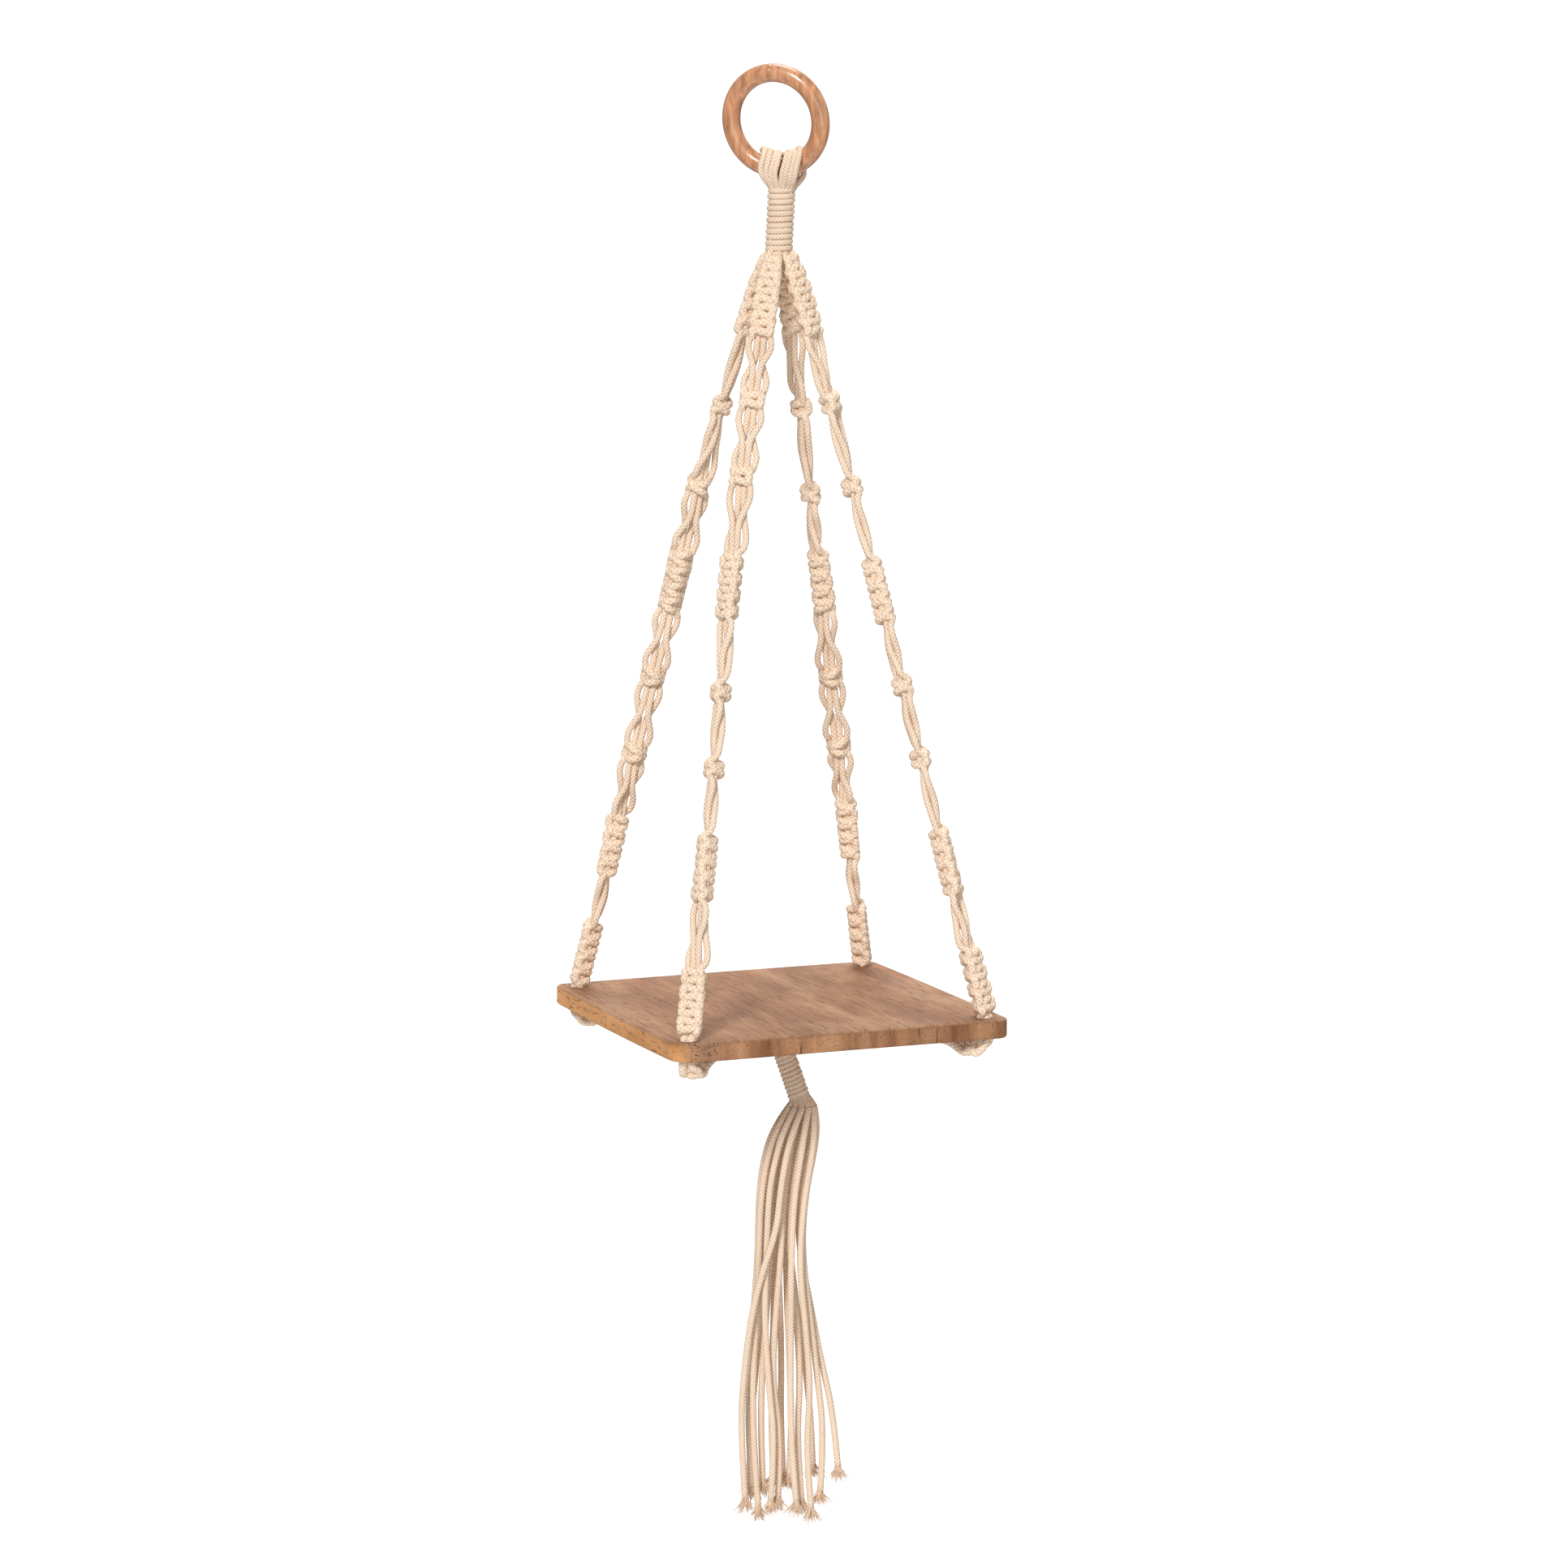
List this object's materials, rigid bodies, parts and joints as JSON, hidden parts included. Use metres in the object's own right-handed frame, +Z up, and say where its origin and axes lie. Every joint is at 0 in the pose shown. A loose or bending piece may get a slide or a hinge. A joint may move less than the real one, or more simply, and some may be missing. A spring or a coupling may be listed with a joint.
{
  "type": "macrame plant hanger with board",
  "caption": "Square wooden plant shelf hung from a wooden ring by knotted cotton arms, with a long cord tassel below.",
  "frame": {"origin": "where the hook bears on the ring: the inside of the ring's top", "axes": "+Z up; +X and +Y along the square board's sides, with the front towards -Y"},
  "size_m": [0.2562, 0.2506, 1.0447],
  "materials": {
    "ring_wood": "gloss lacquer",
    "board_wood": "oiled",
    "cotton_cord": "braided cotton",
    "wrapping_cord": "braided cotton"
  },
  "bodies": {
    "ring": {"hanging_ring": "ring_wood"},
    "hanger": {"ring_loops": "cotton_cord", "neck_strands": "cotton_cord", "neck_wrap": "wrapping_cord", "board": "board_wood", "hole_strands": "cotton_cord", "under_knots": "cotton_cord", "underside_strands": "cotton_cord", "gathered_strands": "cotton_cord", "front_left_top_sennit": "cotton_cord", "front_left_upper_single_knots": "cotton_cord", "front_left_upper_sennit": "cotton_cord", "front_left_lower_single_knots": "cotton_cord", "front_left_middle_sennit": "cotton_cord", "front_left_lower_sennit": "cotton_cord", "front_left_span_strands": "cotton_cord", "front_right_top_sennit": "cotton_cord", "front_right_upper_single_knots": "cotton_cord", "front_right_upper_sennit": "cotton_cord", "front_right_lower_single_knots": "cotton_cord", "front_right_middle_sennit": "cotton_cord", "front_right_lower_sennit": "cotton_cord", "front_right_span_strands": "cotton_cord", "back_right_top_sennit": "cotton_cord", "back_right_upper_single_knots": "cotton_cord", "back_right_upper_sennit": "cotton_cord", "back_right_lower_single_knots": "cotton_cord", "back_right_middle_sennit": "cotton_cord", "back_right_lower_sennit": "cotton_cord", "back_right_span_strands": "cotton_cord", "back_left_top_sennit": "cotton_cord", "back_left_upper_single_knots": "cotton_cord", "back_left_upper_sennit": "cotton_cord", "back_left_lower_single_knots": "cotton_cord", "back_left_middle_sennit": "cotton_cord", "back_left_lower_sennit": "cotton_cord", "back_left_span_strands": "cotton_cord"},
    "tassel_wrap": {"tassel_wrap": "wrapping_cord", "tassel_core": "cotton_cord"},
    "tassel": {"tassel_strand_01": "cotton_cord", "tassel_strand_02": "cotton_cord", "tassel_strand_03": "cotton_cord", "tassel_strand_04": "cotton_cord", "tassel_strand_05": "cotton_cord", "tassel_strand_06": "cotton_cord", "tassel_strand_07": "cotton_cord", "tassel_strand_08": "cotton_cord", "tassel_strand_09": "cotton_cord", "tassel_strand_10": "cotton_cord", "tassel_strand_11": "cotton_cord", "tassel_strand_12": "cotton_cord", "tassel_strand_13": "cotton_cord", "tassel_strand_14": "cotton_cord", "tassel_strand_15": "cotton_cord", "tassel_strand_16": "cotton_cord"}
  },
  "joints": [
    {"name": "hanger_tilt", "type": "hinge", "parent": "ring", "child": "hanger", "pos_m": [0.00604, 0.00604, -0.0608], "axis": [0.7071, -0.7071, 0], "range_deg": [-25, 25]},
    {"name": "wrap_swing", "type": "hinge", "parent": "hanger", "child": "tassel_wrap", "pos_m": [0.00604, 0.00604, -0.6838], "axis": [0.3746, 0.9272, 0], "range_deg": [-35, 35]},
    {"name": "tassel_sway", "type": "hinge", "parent": "tassel_wrap", "child": "tassel", "pos_m": [0.02075, 0.0001, -0.73122], "axis": [0.9272, -0.3746, 0], "range_deg": [-30, 30]}
  ]
}
